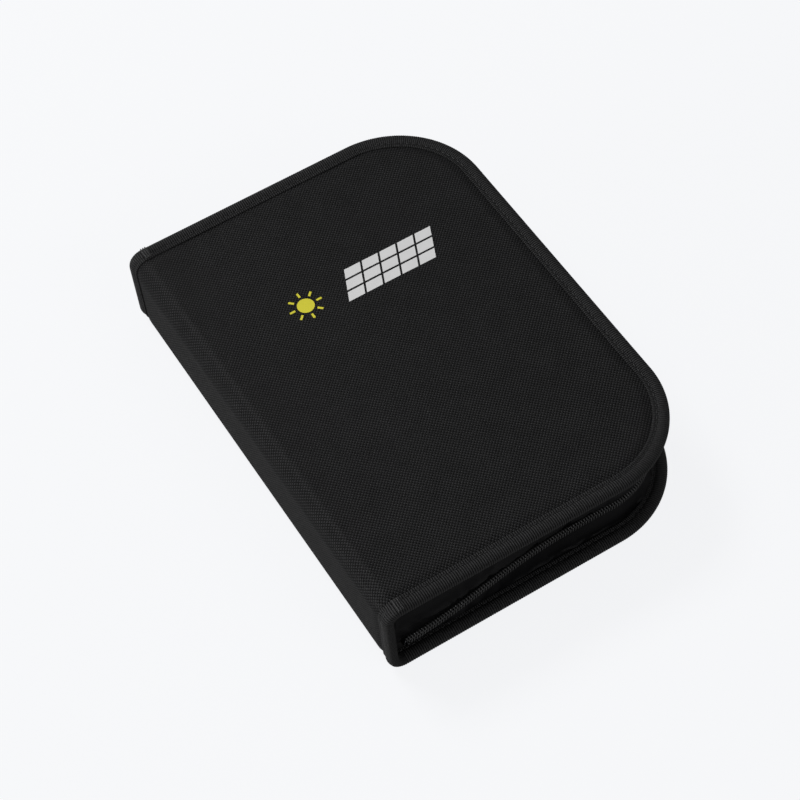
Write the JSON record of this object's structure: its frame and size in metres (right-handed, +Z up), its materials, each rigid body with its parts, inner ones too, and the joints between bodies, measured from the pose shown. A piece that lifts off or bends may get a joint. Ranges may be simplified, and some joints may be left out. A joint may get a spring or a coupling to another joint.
{
  "type": "folding solar blanket in a zipped case",
  "caption": "Closed black fabric book-style case with ribbed binding and a coil zipper; it opens flat and a folded strip of solar leaves unfolds from it.",
  "frame": {"origin": "centre of the bounding box's lower face, where the closed case rests", "axes": "+X from the spine to the free edge, +Y along the spine, +Z up through the closed case"},
  "size_m": [0.168, 0.24, 0.045],
  "materials": {
    "polyester": "woven matte",
    "grosgrain": "ribbed",
    "taffeta": "smooth",
    "coil_plastic": "satin",
    "cover_board": "matte",
    "solar_film": "textured gloss",
    "black_plastic": "fine texture",
    "circuit_green": "satin",
    "steel": "polished",
    "gunmetal": "satin",
    "button_yellow": "matte",
    "lens_white": "gloss"
  },
  "bodies": {
    "case_base": {"lower_cover_cloth": "polyester", "lower_cover_board": "cover_board", "lower_cover_lining": "taffeta", "lower_binding": "grosgrain", "lower_gusset": "taffeta", "lower_zipper_tape": "grosgrain", "lower_zipper_coil": "coil_plastic", "zipper_end_stop": "steel", "lead_pocket": "taffeta", "leaf_1_panel": "polyester", "leaf_1_cells": "solar_film", "controller_tray": "black_plastic", "controller_lid": "black_plastic", "circuit_board": "circuit_green", "usb_socket_1": "steel", "usb_socket_2": "steel", "status_lens": "lens_white", "lid_screw_1": "gunmetal", "lid_screw_2": "gunmetal", "lid_screw_3": "gunmetal", "lid_screw_4": "gunmetal", "hinge_web_1_2": "grosgrain"},
    "case_spine": {"spine_cloth": "polyester", "spine_board": "cover_board", "spine_lining": "taffeta", "spine_binding_near": "grosgrain", "spine_binding_far": "grosgrain"},
    "case_lid": {"upper_cover_cloth": "polyester", "upper_cover_board": "cover_board", "upper_cover_lining": "taffeta", "upper_binding": "grosgrain", "upper_gusset": "taffeta", "upper_zipper_tape": "grosgrain", "upper_zipper_coil": "coil_plastic", "lid_panel": "polyester", "lid_cells": "solar_film"},
    "leaf_2": {"leaf_2_panel": "polyester", "leaf_2_cells": "solar_film", "hinge_web_2_3": "grosgrain"},
    "leaf_3": {"leaf_3_panel": "polyester", "leaf_3_cells": "solar_film", "hinge_web_3_4": "grosgrain"},
    "leaf_4": {"leaf_4_panel": "polyester", "leaf_4_cells": "solar_film", "hinge_web_4_5": "grosgrain"},
    "leaf_5": {"leaf_5_panel": "polyester", "leaf_5_cells": "solar_film", "grommet_near": "steel", "grommet_far": "steel"},
    "slider": {"zipper_slider": "gunmetal"},
    "pull": {"pull_tab": "gunmetal"},
    "button": {"power_button": "button_yellow"}
  },
  "joints": [
    {"name": "spine_hinge", "type": "hinge", "parent": "case_base", "child": "case_spine", "pos_m": [-0.084, 0, 0], "axis": [0, -1, 0], "range_deg": [0, 90]},
    {"name": "lid_hinge", "type": "hinge", "parent": "case_spine", "child": "case_lid", "pos_m": [-0.084, 0, 0.045], "axis": [0, -1, 0], "range_deg": [0, 90]},
    {"name": "leaf_2_fold", "type": "hinge", "parent": "case_base", "child": "leaf_2", "pos_m": [0.061, 0, 0.01835], "axis": [0, 1, 0], "range_deg": [0, 180], "deforming": ["hinge_web_1_2"]},
    {"name": "leaf_3_fold", "type": "hinge", "parent": "leaf_2", "child": "leaf_3", "pos_m": [0.0035, 0, 0.02085], "axis": [0, -1, 0], "range_deg": [0, 180], "deforming": ["hinge_web_2_3"]},
    {"name": "leaf_4_fold", "type": "hinge", "parent": "leaf_3", "child": "leaf_4", "pos_m": [0.061, 0, 0.02335], "axis": [0, 1, 0], "range_deg": [0, 180], "deforming": ["hinge_web_3_4"]},
    {"name": "leaf_5_fold", "type": "hinge", "parent": "leaf_4", "child": "leaf_5", "pos_m": [0.0035, 0, 0.02585], "axis": [0, -1, 0], "range_deg": [0, 180], "deforming": ["hinge_web_4_5"]},
    {"name": "zipper_travel", "type": "slide", "parent": "case_base", "child": "slider", "axis": [0.9994, 0, -0.0357], "range_m": [0, 0.09]},
    {"name": "pull_tab_swing", "type": "hinge", "parent": "slider", "child": "pull", "pos_m": [-0.0621, 0.1173, 0.02029], "axis": [0, 0, 1], "range_deg": [0, 160]},
    {"name": "button_press", "type": "slide", "parent": "case_base", "child": "button", "axis": [0, 0, -1], "range_m": [0, 0.0008], "stiffness_N_per_m": 400, "springref_m": -0.0003}
  ],
  "couplings": [
    {"joint": "lid_hinge", "follows": "spine_hinge", "ratio": 1},
    {"joint": "leaf_2_fold", "follows": "spine_hinge", "ratio": 2},
    {"joint": "leaf_3_fold", "follows": "spine_hinge", "ratio": 2},
    {"joint": "leaf_4_fold", "follows": "spine_hinge", "ratio": 2},
    {"joint": "leaf_5_fold", "follows": "spine_hinge", "ratio": 2}
  ]
}
